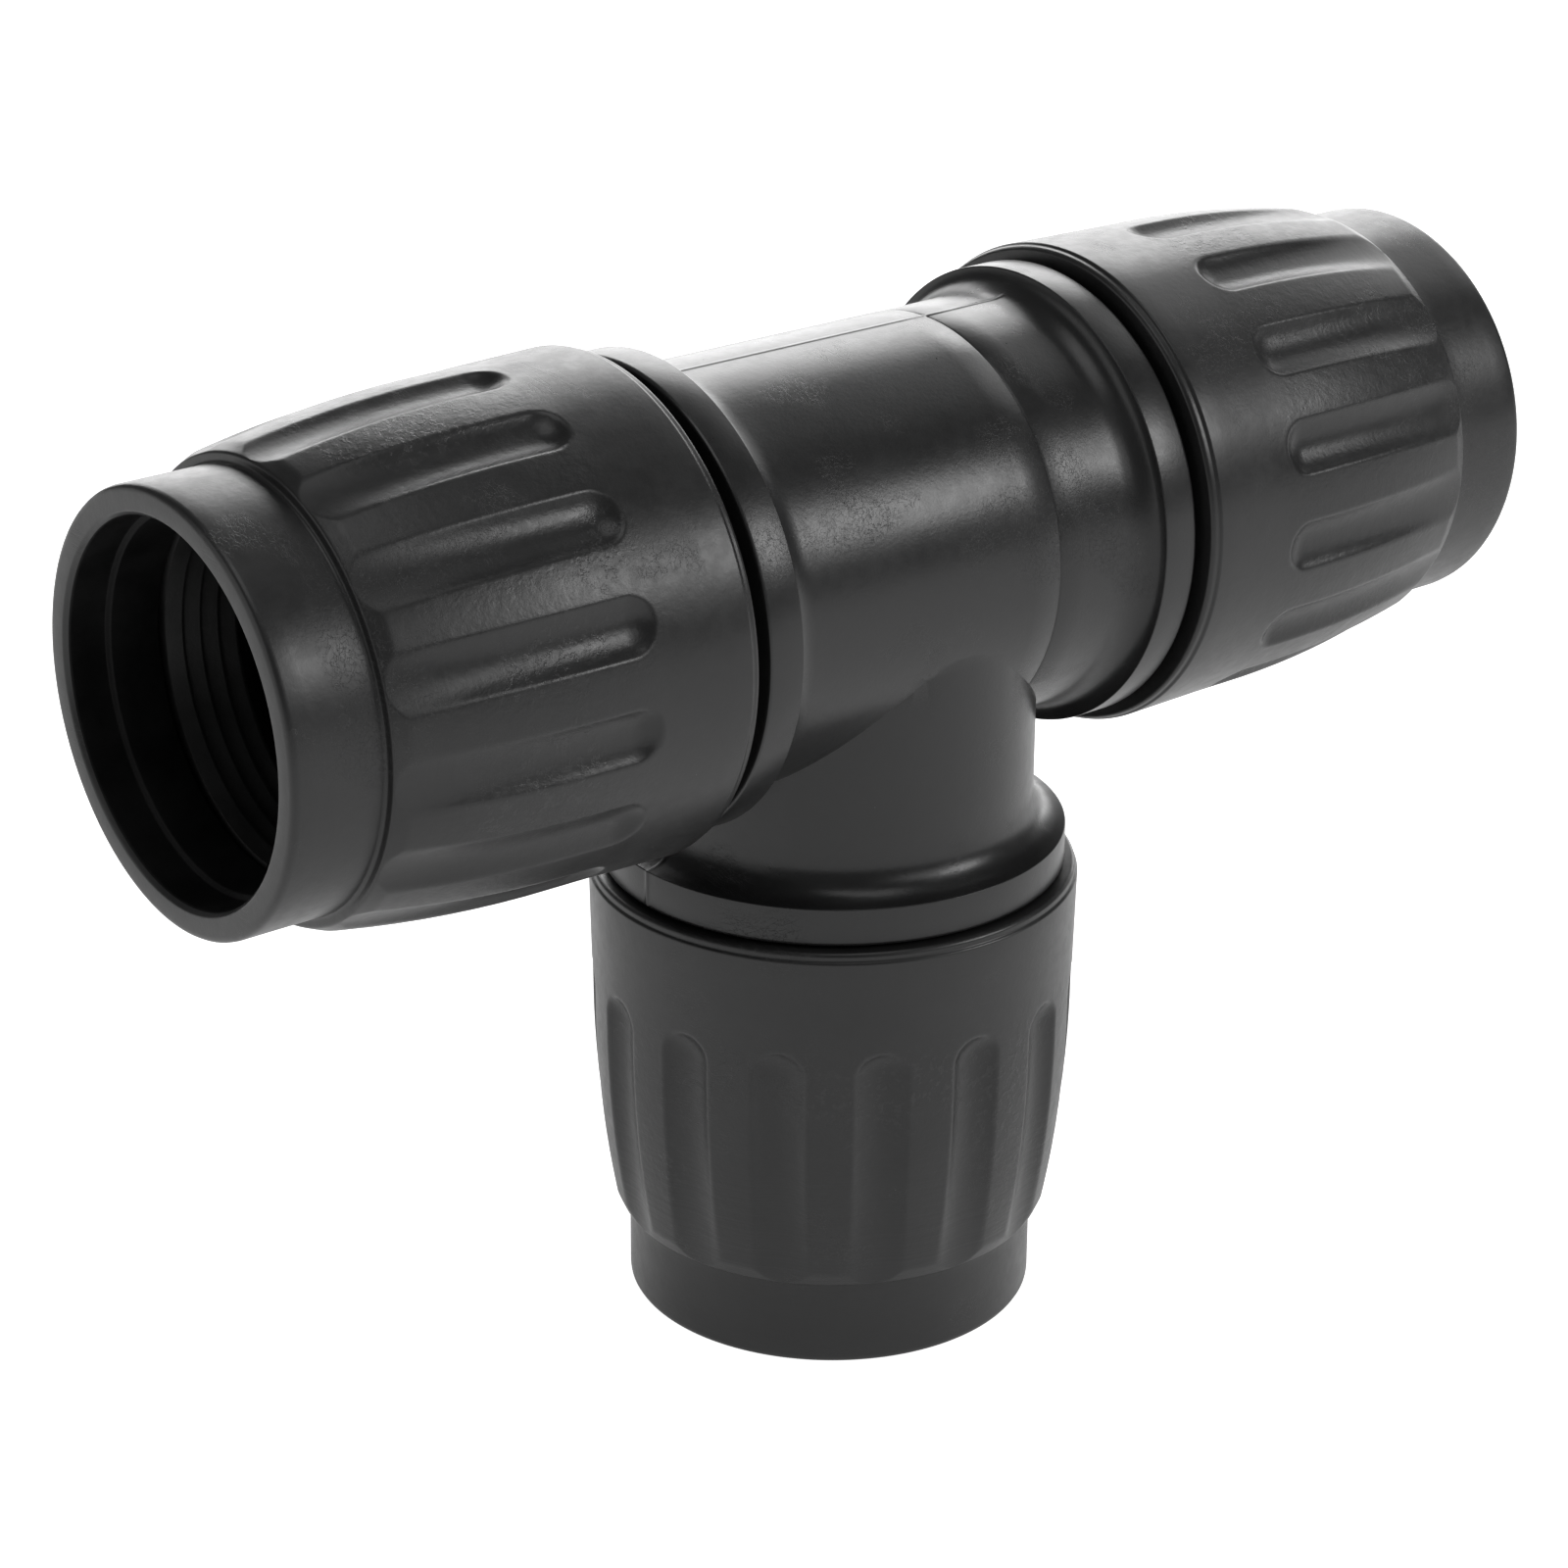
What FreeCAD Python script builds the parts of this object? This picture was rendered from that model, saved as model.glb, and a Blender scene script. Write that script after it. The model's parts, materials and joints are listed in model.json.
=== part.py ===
import FreeCAD, Part
import math
import os

# Tee connector for soft irrigation tube, 17.8 mm outside and 15.2 mm inside.
# The run lies along X, the branch points down, and the branch nut's mouth stands on Z = 0.
# All sizes are in millimetres.

V = FreeCAD.Vector

# Tee body
RUN_R = 11.1
BRANCH_R = 10.6
BORE_R = 6.2
FLANGE_R = 12.4
FLANGE_T = 2.08
RUN_FLANGE_FACE = 13.95
BRANCH_FLANGE_FACE = 17.5
FLANGE_EDGE = 0.12
COVE_LEN = 1.75
SEAM_WIDTH = 0.24
SEAM_HEIGHT = 0.05
WITNESS_X = 5.77
WITNESS_DEPTH = 0.08
WITNESS_WIDTH = 0.14

# Threaded spigot and the barbed stem inside it
SPIGOT_LEN = 12.3
SPIGOT_ROOT_R = 10.2
SPIGOT_NOSE_R = 10.15
SOCKET_R = 9.1
SOCKET_DEPTH = 3.7
THREAD_CREST_R = 11.0
PITCH = 2.5
THREAD_START = 1.4
THREAD_TURNS = 3.5
STEM_R = 7.3
STEM_BEYOND = 13.8
BARB_R = 7.9
BARB_COUNT = 3
BARB_PITCH = 3.0

# Nut, measured from its rim
NUT_LEN = 25.0
NUT_RIM_GAP = 0.62
NUT_RIM_R = 13.08
RIM_BAND_LEN = 0.42
NUT_STRAIGHT = 7.8
NUT_STRAIGHT_R = 12.95
NUT_CURVE_R = 62.5
NUT_STEP_START = 19.2
NUT_STEP_FACE = 20.0
NUT_STEP_R = 11.55
COLLAR_R = 11.02
COLLAR_ROUND = 0.36
NUT_THREAD_MINOR_R = 10.45
NUT_THREAD_MAJOR_R = 11.3
NUT_THREAD_END = 10.2
CONE_START = 14.0
CONE_END_R = 9.75
LIP_R = 9.2
LIP_END = 22.8
MOUTH_R = 9.5
FLUTE_COUNT = 15
FLUTE_WIDTH = 2.9
FLUTE_DEPTH = 0.58
FLUTE_TIP = 5.75
FLUTE_FLOOR_R = 93.0
FLUTE_PHASE = 18.0

# Inner rings, the same in every leg
SEAL_SECTION_R = 0.6
SEAL_MID_R = 9.55
BUSH_START = 13.52
BUSH_LEN = 1.58
BUSH_R = 10.15
BUSH_BORE_R = 9.05
GRIP_START = 15.2
GRIP_LEN = 4.6
GRIP_CLEARANCE = 0.1
GRIP_BORE_R = 9.25
GRIP_TOOTH_R = 8.95
GRIP_TEETH = 4
GRIP_SLOT = 1.2

# How far each nut is turned from the right-hand nut's place; a turn moves it by the pitch
NUT_TURN = {"left": 60.0, "right": 0.0, "branch": -69.0}
FLANGE_FACE = {"left": RUN_FLANGE_FACE, "right": RUN_FLANGE_FACE, "branch": BRANCH_FLANGE_FACE}


def nut_shift(leg):
    """Outward move of a nut that goes with its turn on the right-hand thread."""
    return PITCH * NUT_TURN[leg] / 360.0


AXIS_HEIGHT = BRANCH_FLANGE_FACE + NUT_RIM_GAP + nut_shift("branch") + NUT_LEN


def leg_matrix(leg):
    """Placement that carries a leg drawn along +Z from the axis crossing to its real direction."""
    columns = {
        "left": (V(0, 1, 0), V(0, 0, -1), V(-1, 0, 0)),
        "right": (V(0, 1, 0), V(0, 0, 1), V(1, 0, 0)),
        "branch": (V(1, 0, 0), V(0, -1, 0), V(0, 0, -1)),
    }[leg]
    a, b, c = columns
    return FreeCAD.Matrix(
        a.x, b.x, c.x, 0.0,
        a.y, b.y, c.y, 0.0,
        a.z, b.z, c.z, AXIS_HEIGHT,
        0.0, 0.0, 0.0, 1.0,
    )


def place(shape, leg, along=0.0, turn=0.0):
    """Move a shape along its leg, turn it about the leg and put the leg in the tee."""
    moved = shape.copy()
    moved.rotate(V(0, 0, 0), V(0, 0, 1), turn)
    moved.translate(V(0, 0, along))
    return moved.transformShape(leg_matrix(leg), True)


def ring(points):
    """Solid of revolution about Z from (radius, height) corners of a closed outline."""
    corners = [V(r, 0, z) for r, z in points]
    corners.append(corners[0])
    return Part.Face(Part.makePolygon(corners)).revolve(V(0, 0, 0), V(0, 0, 1), 360)


def fused(shapes):
    """One clean solid from overlapping shapes."""
    return shapes[0].multiFuse(shapes[1:]).removeSplitter()


def helix_bar(inner_r, outer_r, inner_half, outer_half, start, turns):
    """Right-handed trapezoid bar wound about Z, for a thread ridge or a thread cutter."""
    spine = Part.makeHelix(PITCH, PITCH * turns, inner_r)
    corners = [
        V(inner_r, 0, -inner_half),
        V(outer_r, 0, -outer_half),
        V(outer_r, 0, outer_half),
        V(inner_r, 0, inner_half),
        V(inner_r, 0, -inner_half),
    ]
    profile = Part.makePolygon(corners)
    bar = Part.Wire(spine.Edges).makePipeShell([profile], True, True)
    bar.translate(V(0, 0, start))
    return bar


def flange(tube_r, face):
    """Round flange that a hollow quarter-ellipse cove sweeps up to from the tube."""
    back = face - FLANGE_T
    top = FLANGE_R - FLANGE_EDGE
    inside = tube_r - 0.5
    centre = V(top, 0, back - COVE_LEN)
    ellipse = Part.Ellipse(centre + V(0, 0, COVE_LEN), centre - V(top - tube_r, 0, 0), centre)
    corners = [
        V(FLANGE_R, 0, back + FLANGE_EDGE),
        V(FLANGE_R, 0, face - 0.15),
        V(FLANGE_R - 0.15, 0, face),
        V(inside, 0, face),
        V(inside, 0, back - COVE_LEN),
        V(tube_r, 0, back - COVE_LEN),
    ]
    edge_mid = V(top + FLANGE_EDGE * math.sqrt(0.5), 0, back + FLANGE_EDGE * (1 - math.sqrt(0.5)))
    edges = [
        Part.ArcOfEllipse(ellipse, 0, math.pi / 2).toShape(),
        Part.Arc(V(top, 0, back), edge_mid, corners[0]).toShape(),
    ]
    for start, end in zip(corners, corners[1:]):
        edges.append(Part.LineSegment(start, end).toShape())
    outline = Part.Wire(Part.__sortEdges__(edges))
    return Part.Face(outline).revolve(V(0, 0, 0), V(0, 0, 1), 360)


def spigot(face):
    """Threaded spigot beyond the flange, with a chamfered nose."""
    end = face + SPIGOT_LEN
    core = ring([
        (SOCKET_R - 1.0, face - 1.0),
        (SPIGOT_ROOT_R, face - 1.0),
        (SPIGOT_ROOT_R, end - 1.2),
        (SPIGOT_NOSE_R, end - 0.3),
        (SPIGOT_NOSE_R - 0.3, end),
        (SOCKET_R - 1.0, end),
    ])
    ridge = helix_bar(SPIGOT_ROOT_R - 0.15, THREAD_CREST_R, 0.78, 0.35, face + THREAD_START, THREAD_TURNS)
    return core.fuse(ridge)


def socket_pocket(face):
    """Annular pocket between spigot and stem that the tube end is pushed into."""
    floor = face - SOCKET_DEPTH
    end = face + SPIGOT_LEN
    return ring([
        (STEM_R, floor),
        (SOCKET_R, floor),
        (SOCKET_R, end - 0.4),
        (SOCKET_R + 0.4, end),
        (SOCKET_R + 0.4, end + 5.0),
        (STEM_R, end + 5.0),
    ])


def stem(face):
    """Hollow barbed stem that the tube is pushed over."""
    base = face - SOCKET_DEPTH - 0.5
    tip = face + STEM_BEYOND
    outline = [(BORE_R - 0.6, base), (STEM_R, base)]
    first = tip - 0.6 - BARB_COUNT * BARB_PITCH
    for i in range(BARB_COUNT):
        low = first + i * BARB_PITCH
        outline.append((STEM_R, low))
        outline.append((BARB_R, low + 0.25))
        outline.append((BARB_R, low + 0.55))
        outline.append((STEM_R, low + BARB_PITCH - 0.2))
    outline.append((STEM_R, tip - 0.3))
    outline.append((STEM_R - 0.3, tip))
    outline.append((BORE_R - 0.6, tip))
    return ring(outline)


def seam_slab():
    """Thin plate in the plane of both axes, for cutting the moulding seam from thicker copies."""
    return Part.makeBox(120, SEAM_WIDTH, 120, V(-60, -SEAM_WIDTH / 2, AXIS_HEIGHT - 60))


def seam():
    """Fine raised moulding seam along the tubes and flange edges."""
    grow = SEAM_HEIGHT
    span = RUN_FLANGE_FACE - FLANGE_T
    solids = [Part.makeCylinder(RUN_R + grow, 2 * span, V(-span, 0, AXIS_HEIGHT), V(1, 0, 0))]
    down = BRANCH_FLANGE_FACE - FLANGE_T
    solids.append(Part.makeCylinder(BRANCH_R + grow, down, V(0, 0, AXIS_HEIGHT - down)))
    rim = ring([
        (8.5, -FLANGE_T + FLANGE_EDGE),
        (FLANGE_R + grow, -FLANGE_T + FLANGE_EDGE),
        (FLANGE_R + grow, -0.2),
        (8.5, -0.2),
    ])
    for leg, face in FLANGE_FACE.items():
        solids.append(place(rim, leg, face))
    return fused(solids).common(seam_slab())


def tee_body():
    """Moulded tee: run, branch, flanges, threaded spigots and barbed stems in one piece."""
    span = RUN_FLANGE_FACE - 1.0
    down = BRANCH_FLANGE_FACE - 1.0
    solids = [
        Part.makeCylinder(RUN_R, 2 * span, V(-span, 0, AXIS_HEIGHT), V(1, 0, 0)),
        Part.makeCylinder(BRANCH_R, down, V(0, 0, AXIS_HEIGHT - down)),
    ]
    for leg, face in FLANGE_FACE.items():
        tube_r = BRANCH_R if leg == "branch" else RUN_R
        solids.append(place(flange(tube_r, face), leg))
    outside = fused(solids)
    witness = ring([
        (RUN_R - WITNESS_DEPTH, WITNESS_X),
        (RUN_R + 0.5, WITNESS_X - WITNESS_WIDTH * 3),
        (RUN_R + 0.5, WITNESS_X + WITNESS_WIDTH * 3),
    ])
    outside = outside.cut(place(witness, "right"))
    outside = outside.fuse(seam())
    for leg, face in FLANGE_FACE.items():
        outside = outside.fuse(place(spigot(face), leg))
    for leg, face in FLANGE_FACE.items():
        outside = outside.cut(place(socket_pocket(face), leg))
        outside = outside.fuse(place(stem(face), leg))
    for leg, face in FLANGE_FACE.items():
        length = face + STEM_BEYOND + 1.0
        outside = outside.cut(place(Part.makeCylinder(BORE_R, length), leg))
    return outside.removeSplitter()


def nut_outline():
    """Half section of the nut without flutes or thread, rim at height 0."""
    centre_r = NUT_STRAIGHT_R - NUT_CURVE_R
    mid_z = 0.5 * (NUT_STRAIGHT + NUT_STEP_START)
    mid_r = centre_r + math.sqrt(NUT_CURVE_R ** 2 - (mid_z - NUT_STRAIGHT) ** 2)
    end_r = centre_r + math.sqrt(NUT_CURVE_R ** 2 - (NUT_STEP_START - NUT_STRAIGHT) ** 2)
    after = [
        (end_r, NUT_STEP_START),
        (NUT_STEP_R, NUT_STEP_FACE),
        (COLLAR_R + 0.12, NUT_STEP_FACE),
        (COLLAR_R, NUT_STEP_FACE + 0.5),
        (COLLAR_R, NUT_LEN - COLLAR_ROUND),
        (COLLAR_R - 0.3 * COLLAR_ROUND, NUT_LEN - 0.3 * COLLAR_ROUND),
        (COLLAR_R - COLLAR_ROUND, NUT_LEN),
        (MOUTH_R + 0.2, NUT_LEN),
        (MOUTH_R, NUT_LEN - 0.25),
        (MOUTH_R, LIP_END),
        (LIP_R, LIP_END - 0.15),
        (LIP_R, NUT_STEP_FACE + 0.1),
        (LIP_R + 0.1, NUT_STEP_FACE),
        (CONE_END_R, NUT_STEP_FACE),
        (NUT_THREAD_MINOR_R, CONE_START),
        (NUT_THREAD_MINOR_R, 1.8),
        (NUT_THREAD_MAJOR_R + 0.1, 0.85),
        (NUT_THREAD_MAJOR_R + 0.1, 0.2),
        (NUT_THREAD_MAJOR_R + 0.3, 0.0),
        (NUT_STRAIGHT_R - 0.15, 0.0),
        (NUT_STRAIGHT_R, 0.16),
        (NUT_STRAIGHT_R, RIM_BAND_LEN),
        (NUT_RIM_R, RIM_BAND_LEN + 0.12),
        (NUT_STRAIGHT_R, NUT_STRAIGHT),
    ]
    edges = [Part.Arc(
        V(NUT_STRAIGHT_R, 0, NUT_STRAIGHT), V(mid_r, 0, mid_z), V(end_r, 0, NUT_STEP_START)
    ).toShape()]
    for (r0, z0), (r1, z1) in zip(after, after[1:]):
        edges.append(Part.LineSegment(V(r0, 0, z0), V(r1, 0, z1)).toShape())
    return Part.Wire(edges)


def flute_cutter():
    """Round-ended cutter on a flatter arc than the barrel, so that the flute fades towards the step."""
    tool_r = (FLUTE_WIDTH ** 2 / 4 + FLUTE_DEPTH ** 2) / (2 * FLUTE_DEPTH)
    path_r = FLUTE_FLOOR_R + tool_r
    centre = V(NUT_STRAIGHT_R - FLUTE_DEPTH - FLUTE_FLOOR_R, 0, NUT_STRAIGHT)
    start = math.asin((FLUTE_TIP + FLUTE_WIDTH / 2 - NUT_STRAIGHT) / path_r)
    sweep = math.asin((NUT_STEP_FACE + 1.6 - NUT_STRAIGHT) / path_r) - start
    at = centre + V(path_r * math.cos(start), 0, path_r * math.sin(start))
    along = V(-math.sin(start), 0, math.cos(start))
    disc = Part.Face(Part.Wire(Part.makeCircle(tool_r, at, along)))
    bar = disc.revolve(centre, V(0, -1, 0), math.degrees(sweep))
    keep = Part.makeBox(40, 20, NUT_STEP_FACE + 10, V(0, -10, -10))
    return bar.fuse(Part.makeSphere(tool_r, at)).common(keep)


def nut():
    """Fluted barrel nut with its internal thread, cone and lipped mouth."""
    blank = Part.Face(nut_outline()).revolve(V(0, 0, 0), V(0, 0, 1), 360)
    cutter = flute_cutter()
    cutters = []
    for i in range(FLUTE_COUNT):
        tool = cutter.copy()
        tool.rotate(V(0, 0, 0), V(0, 0, 1), FLUTE_PHASE + i * 360.0 / FLUTE_COUNT)
        cutters.append(tool)
    for tool in cutters:
        blank = blank.cut(tool)
    turns = math.ceil((NUT_THREAD_END + PITCH) / PITCH)
    start = THREAD_START - NUT_RIM_GAP - PITCH
    groove = helix_bar(NUT_THREAD_MINOR_R - 0.3, NUT_THREAD_MAJOR_R, 1.06, 0.52, start, turns)
    return blank.cut(groove)


def seal_ring():
    """O-ring that sits on the end of the spigot."""
    return Part.makeTorus(SEAL_MID_R, SEAL_SECTION_R)


def thrust_bush():
    """Stiff ring between the seal and the grip ring."""
    return ring([
        (BUSH_BORE_R, 0.25),
        (BUSH_BORE_R + 0.2, 0.0),
        (BUSH_R - 0.2, 0.0),
        (BUSH_R, 0.2),
        (BUSH_R, BUSH_LEN - 0.15),
        (BUSH_R - 0.15, BUSH_LEN),
        (BUSH_BORE_R + 0.15, BUSH_LEN),
        (BUSH_BORE_R, BUSH_LEN - 0.15),
    ])


def grip_ring():
    """Split tapered ring with saw teeth that bite the tube when the nut pulls it in."""
    slope = (NUT_THREAD_MINOR_R - CONE_END_R) / (NUT_STEP_FACE - CONE_START)
    low_r = NUT_THREAD_MINOR_R - slope * (GRIP_START - CONE_START) - GRIP_CLEARANCE
    high_r = low_r - slope * GRIP_LEN
    outline = [(low_r - 0.15, 0.0), (low_r, 0.15), (high_r, GRIP_LEN)]
    tooth = (GRIP_LEN - 0.6) / GRIP_TEETH
    for i in range(GRIP_TEETH):
        top = GRIP_LEN - 0.2 - i * tooth
        outline.append((GRIP_BORE_R, top))
        outline.append((GRIP_TOOTH_R, top - tooth + 0.25))
        outline.append((GRIP_TOOTH_R, top - tooth + 0.12))
    outline.append((GRIP_BORE_R, 0.0))
    slot = Part.makeBox(20, GRIP_SLOT, GRIP_LEN + 2, V(0, -GRIP_SLOT / 2, -1))
    slot.rotate(V(0, 0, 0), V(0, 0, 1), 90)
    return ring(outline).cut(slot)


def save(node, shape):
    """Write one solid to its own STEP file."""
    solid = shape.Solids[0] if len(shape.Solids) == 1 else shape
    solid.exportStep("parts/" + node + ".step")


def main():
    os.makedirs("parts", exist_ok=True)
    save("tee_body", tee_body())
    whole_nut = nut()
    whole_grip = grip_ring()
    for leg, face in FLANGE_FACE.items():
        rim = face + NUT_RIM_GAP + nut_shift(leg)
        save("nut_" + leg, place(whole_nut, leg, rim, NUT_TURN[leg]))
        save("grip_ring_" + leg, place(whole_grip, leg, rim + GRIP_START))
        seal_at = face + SPIGOT_LEN + SEAL_SECTION_R
        save("seal_ring_" + leg, place(seal_ring(), leg, seal_at))
        save("thrust_bush_" + leg, place(thrust_bush(), leg, face + BUSH_START))


main()
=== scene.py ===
import json
import math

import bmesh
import bpy
import numpy as np
from mathutils import Matrix, Vector


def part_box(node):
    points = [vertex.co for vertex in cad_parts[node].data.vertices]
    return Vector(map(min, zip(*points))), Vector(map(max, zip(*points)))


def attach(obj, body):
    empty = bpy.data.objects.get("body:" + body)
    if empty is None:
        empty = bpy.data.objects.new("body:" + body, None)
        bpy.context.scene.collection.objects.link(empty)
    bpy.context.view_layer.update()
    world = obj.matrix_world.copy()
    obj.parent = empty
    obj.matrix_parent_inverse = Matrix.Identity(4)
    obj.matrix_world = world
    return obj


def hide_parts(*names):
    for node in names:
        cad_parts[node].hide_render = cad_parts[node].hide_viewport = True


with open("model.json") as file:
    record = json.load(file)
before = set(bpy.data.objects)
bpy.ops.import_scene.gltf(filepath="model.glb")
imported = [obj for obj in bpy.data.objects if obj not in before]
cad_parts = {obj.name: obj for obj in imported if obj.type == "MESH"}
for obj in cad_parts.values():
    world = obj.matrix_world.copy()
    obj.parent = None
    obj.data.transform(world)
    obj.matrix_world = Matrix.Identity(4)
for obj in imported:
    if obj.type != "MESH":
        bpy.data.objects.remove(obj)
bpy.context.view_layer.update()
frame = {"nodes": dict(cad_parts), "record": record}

# Lengths are in millimetres up to the mesh itself, which is in metres.
MM = 0.001
LEGS = ("left", "right", "branch")

# ---------------------------------------------------------------- the frame


def corner(node, which):
    """A CAD node's lowest (0) or highest (1) corner, in millimetres."""
    return np.array(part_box(node)[which]) / MM


JOINTS = {j["name"]: j for j in frame["record"]["behaviour"]["joints"]}
CENTRE = np.array([0.0, 0.0, JOINTS["nut_turn_left"]["pos_m"][2] / MM])
AXIS = {leg: np.array(JOINTS["nut_turn_" + leg]["axis"], float) for leg in LEGS}
SIDE = {"left": np.array([0, 1, 0]), "right": np.array([0, 1, 0]), "branch": np.array([1, 0, 0])}


def span(node, leg):
    """Nearest and furthest distance of a node from the axis crossing, along its leg."""
    ends = [float((corner(node, i) - CENTRE) @ AXIS[leg]) for i in (0, 1)]
    return min(ends), max(ends)


NUT_R = (corner("nut_branch", 1)[0] - corner("nut_branch", 0)[0]) / 2
NUT_LEN = span("nut_branch", "branch")[1] - span("nut_branch", "branch")[0]
TRAVEL = JOINTS["grip_slide_left"]["range_m"][1] / MM
PITCH = TRAVEL / (JOINTS["nut_turn_left"]["range_deg"][1] / 360)

# All three nuts are one shape, screwed on by these angles, in degrees.
NUT_TURN = {"left": 60.0, "right": 0.0, "branch": -69.0}

# Body sizes. The mould seam is drawn lower than the CAD's.
CAD_SEAM_HEIGHT = 0.05
SEAM_HEIGHT = 0.035
SEAM_WIDTH = 0.12
RUN_R = 11.1
BRANCH_R = 10.6
BORE_R = 6.2
FLANGE_R = corner("tee_body", 1)[1] - CAD_SEAM_HEIGHT
FLANGE_T = 2.08
SPIGOT_LEN = 12.3
SPIGOT_R = 10.2
THREAD_R = 11.0
THREAD_START = 1.4
THREAD_TURNS = 3.5
RIDGE_HALVES = (0.35, 0.73)
SOCKET_R = 9.1
SOCKET_DEPTH = 3.7
STEM_R = 7.3
BARB_R = 7.9
BARB_PITCH = 3.0
BARBS = 3
STEM_BEYOND = 13.8
COVE_LEN = 1.75
FLANGE_EDGE = 0.12
WITNESS_X = 5.77
WITNESS_DEPTH = 0.07
FACE = {
    "left": span("tee_body", "left")[1] - STEM_BEYOND,
    "right": span("tee_body", "right")[1] - STEM_BEYOND,
    "branch": span("tee_body", "branch")[1] - STEM_BEYOND,
}

# ---------------------------------------------------------------- mesh tools


def rounded(corners, segments=4):
    """Outline through (radius, height, round) corners, each corner rounded by its own radius."""
    points = []
    for i, (r, z, fillet) in enumerate(corners):
        here = np.array([r, z], float)
        if fillet <= 0 or i in (0, len(corners) - 1):
            points.append(here)
            continue
        before = np.array(corners[i - 1][:2], float) - here
        after = np.array(corners[i + 1][:2], float) - here
        lb, la = np.linalg.norm(before), np.linalg.norm(after)
        cut = min(fillet, 0.45 * lb, 0.45 * la)
        a, b = here + before / lb * cut, here + after / la * cut
        for k in range(segments + 1):
            t = k / segments
            points.append((1 - t) ** 2 * a + 2 * t * (1 - t) * here + t**2 * b)
    return np.array(points)


def densify(points, step):
    """Adds points so that no two are further apart than step(height)."""
    out = [points[0]]
    for a, b in zip(points, points[1:]):
        n = max(1, int(math.ceil(np.linalg.norm(b - a) / step(0.5 * (a + b)))))
        out.extend(a + (b - a) * k / n for k in range(1, n + 1))
    return np.array(out)


def smooth_max0(a, k):
    """max(a, 0) with its corner rounded over a width k."""
    mid = (a + k) ** 2 / (4 * k)
    return np.where(a > k, a, np.where(a < -k, 0.0, mid))


def leg_points(leg, radius, height, angle):
    """Points of a leg-local cylinder grid, in the row frame, in millimetres."""
    axis = AXIS[leg]
    u = SIDE[leg].astype(float)
    v = np.cross(axis, u)
    c, s = np.cos(angle)[..., None], np.sin(angle)[..., None]
    return CENTRE + height[..., None] * axis + radius[..., None] * (c * u + s * v)


def grid_mesh(points, close_rows):
    """Vertices and quads of a (rows, columns, 3) grid that wraps round its columns."""
    rows, cols = points.shape[:2]
    index = np.arange(rows * cols).reshape(rows, cols)
    if close_rows:
        index = np.vstack([index, index[:1]])
    a, b = index[:-1], index[1:]
    quads = np.stack([a, np.roll(a, -1, 1), np.roll(b, -1, 1), b], -1).reshape(-1, 4)
    return points.reshape(-1, 3), quads


def in_scene(name, data):
    """A new object in the scene, with its mesh, light or camera."""
    obj = bpy.data.objects.new(name, data)
    bpy.context.scene.collection.objects.link(obj)
    return obj


def new_mesh(name, verts, faces):
    """A mesh from corners in millimetres, its faces pointing outwards."""
    mesh = bpy.data.meshes.new(name)
    mesh.from_pydata((verts * MM).tolist(), [], faces)
    face_outwards(mesh)
    return mesh


def face_outwards(mesh):
    """Turns the faces of a mesh outwards."""
    bm = bmesh.new()
    bm.from_mesh(mesh)
    bmesh.ops.recalc_face_normals(bm, faces=bm.faces)
    bm.to_mesh(mesh)
    bm.free()


def shade_smooth(mesh, sharp_deg):
    """Smooth faces, with sharp edges above an angle."""
    mesh.polygons.foreach_set("use_smooth", [True] * len(mesh.polygons))
    mesh.set_sharp_from_angle(angle=math.radians(sharp_deg))


# ---------------------------------------------------------------- nuts

FLUTES = 15
FLUTE_PHASE = 18.0
FLUTE_HALF = 1.45
FLUTE_DEPTH = 0.58
FLUTE_TIP = 5.75
FLUTE_FLOOR_R = 93.0
FLUTE_EDGE = 0.1
RIM_INSET = 0.13
RIM_BAND = 0.42
STRAIGHT = 7.8
STRAIGHT_R = NUT_R - 0.13
BARREL_R = 62.5
STEP_START = 19.2
STEP_FACE = 20.0
STEP_R = 11.55
COLLAR_R = 11.02
MOUTH_R = 9.5
LIP_R = 9.2
LIP_END = 22.8
CONE_R = 9.75
CONE_START = 14.0
MINOR_R = 10.45
MAJOR_R = 11.3
THREAD_END = 10.2
THREAD_FADE = 0.35
GROOVE_HALVES = (0.52, 1.0)
RUN_OUT = -8 * PITCH
RIM_GAP = span("nut_right", "right")[0] - FACE["right"]


def barrel_radius(z):
    """Outer radius of the fluted barrel at a distance from the nut's rim."""
    return STRAIGHT_R - BARREL_R + math.sqrt(BARREL_R**2 - (z - STRAIGHT) ** 2)


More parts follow.
